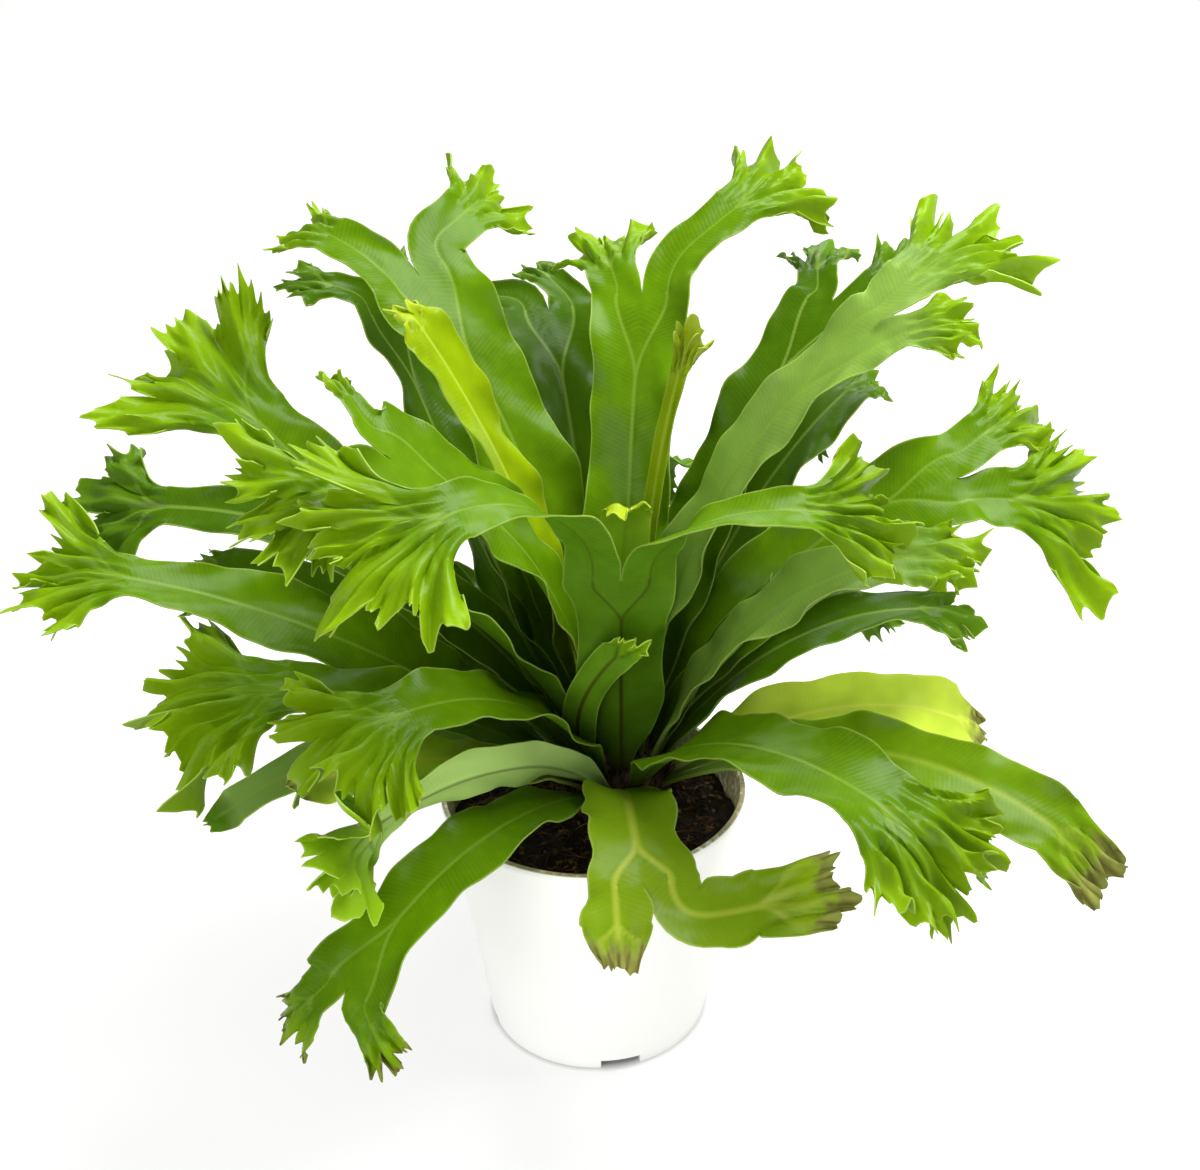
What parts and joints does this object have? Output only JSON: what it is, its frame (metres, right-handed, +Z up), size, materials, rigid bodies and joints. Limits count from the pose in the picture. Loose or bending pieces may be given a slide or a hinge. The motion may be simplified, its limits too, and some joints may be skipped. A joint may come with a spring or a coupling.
{
  "type": "potted fern",
  "caption": "Crested bird's nest fern: forked strap fronds with ruffled fan tips round a scaly crown, in dark soil in a round tapered nursery pot.",
  "frame": {"origin": "middle of the pot's flat foot, on the surface that it stands on", "axes": "+Z up along the pot's axis, -Y the front that faces the viewer, +X to the viewer's right"},
  "size_m": [0.4167, 0.3746, 0.327],
  "materials": {
    "leaf": "waxy, glossy green blade with fine side veins",
    "leaf_young": "waxy, soft yellow-green young blade",
    "leaf_shaded": "waxy, deep green blade",
    "leaf_yellowing": "waxy, ageing yellow-green blade",
    "pot_plastic": "injection moulded white plastic, smooth and semi-gloss",
    "soil": "loose moist peat and coir, crumbly and matt",
    "crown": "dry brown scales, matt and papery"
  },
  "bodies": {
    "root": {"crown": "crown", "frond_back_left": "leaf_shaded", "frond_back_tall": "leaf", "frond_centre_young": "leaf_young", "frond_front_left_folded": "leaf", "frond_front_left_hanging": "leaf", "frond_front_short": "leaf", "frond_front_tall": "leaf", "frond_front_twisted": "leaf", "frond_front_young": "leaf_young", "frond_inner_left": "leaf", "frond_inner_left_rear": "leaf_shaded", "frond_inner_right": "leaf_shaded", "frond_left_arched": "leaf", "frond_left_fan": "leaf", "frond_left_long": "leaf", "frond_left_low": "leaf", "frond_left_low_rear": "leaf_shaded", "frond_left_mid_rear": "leaf_shaded", "frond_left_narrow": "leaf_shaded", "frond_left_rear": "leaf_shaded", "frond_left_ribbed": "leaf", "frond_left_tall": "leaf", "frond_left_yellow": "leaf_yellowing", "frond_left_young": "leaf_young", "frond_rear_arched": "leaf_shaded", "frond_rear_hanging": "leaf_shaded", "frond_rear_left_low": "leaf_shaded", "frond_rear_left_tall": "leaf_shaded", "frond_rear_low": "leaf_shaded", "frond_rear_right": "leaf_shaded", "frond_rear_right_low": "leaf_shaded", "frond_rear_right_tall": "leaf_shaded", "frond_right_arched": "leaf", "frond_right_folded": "leaf", "frond_right_low_long": "leaf", "frond_right_mid_rear": "leaf_shaded", "frond_right_tall": "leaf", "frond_right_tall_rear": "leaf_shaded", "frond_right_wide": "leaf", "frond_right_yellow": "leaf_yellowing", "pot": "pot_plastic", "soil": "soil"}
  },
  "joints": []
}
